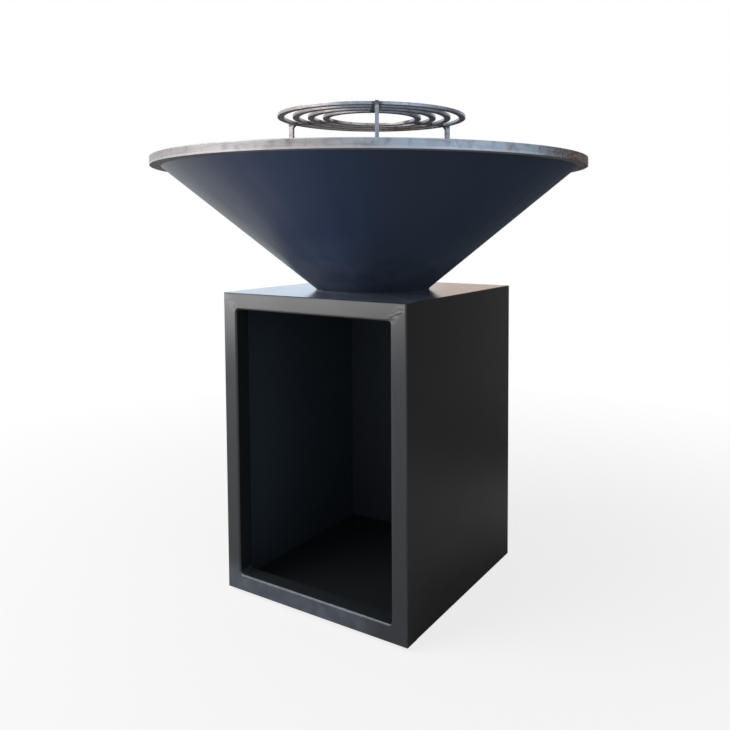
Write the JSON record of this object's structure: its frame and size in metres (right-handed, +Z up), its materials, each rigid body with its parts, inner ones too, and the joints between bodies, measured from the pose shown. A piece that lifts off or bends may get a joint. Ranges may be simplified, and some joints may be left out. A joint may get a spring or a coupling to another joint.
{
  "type": "wood-fired grill",
  "caption": "Wood-fired plancha grill: conical fire bowl on a square open-front log-store pedestal, with a thick round steel cooking plate and a raised ring grate.",
  "frame": {"origin": "on the ground under the bowl's axis, at the middle of the pedestal", "axes": "+Z up along the bowl's axis, the pedestal's open front faces -Y, +X to the right of someone who faces that opening"},
  "size_m": [0.9999, 1, 1.108],
  "materials": {
    "black_coat": "satin black powder coat",
    "bowl_paint": "satin blue-black heat-proof paint",
    "plate_steel": "bare hot-rolled steel, mottled, brown in places",
    "grate_steel": "bare rolled steel",
    "zinc_plate": "zinc plated",
    "foot_rubber": "matt black rubber"
  },
  "bodies": {
    "base": {"frame_left_stile": "black_coat", "frame_right_stile": "black_coat", "frame_top_rail": "black_coat", "frame_bottom_rail": "black_coat", "left_side_panel": "black_coat", "right_side_panel": "black_coat", "back_panel": "black_coat", "floor_panel": "black_coat", "top_panel": "black_coat", "bowl_beam_left": "black_coat", "bowl_beam_right": "black_coat", "foot_pads": "foot_rubber", "foot_screws": "zinc_plate", "foot_nuts": "zinc_plate", "bowl_shell": "bowl_paint", "bowl_floor": "bowl_paint", "bowl_rim_ring": "bowl_paint", "bowl_bolts": "zinc_plate", "bowl_washers": "zinc_plate", "bowl_nuts": "zinc_plate"},
    "plate": {"cooking_plate": "plate_steel", "plate_lugs": "plate_steel"},
    "grate": {"grate_ring_1": "grate_steel", "grate_ring_2": "grate_steel", "grate_ring_3": "grate_steel", "grate_ring_4": "grate_steel", "grate_arm_1": "grate_steel", "grate_arm_2": "grate_steel", "grate_arm_3": "grate_steel", "grate_leg_1": "grate_steel", "grate_leg_2": "grate_steel", "grate_leg_3": "grate_steel"}
  },
  "joints": [
    {"name": "plate_lift", "type": "slide", "parent": "base", "child": "plate", "axis": [0, 0, 1], "range_m": [0, 0.2]},
    {"name": "grate_lift", "type": "slide", "parent": "plate", "child": "grate", "axis": [0, 0, 1], "range_m": [0, 0.2]}
  ]
}
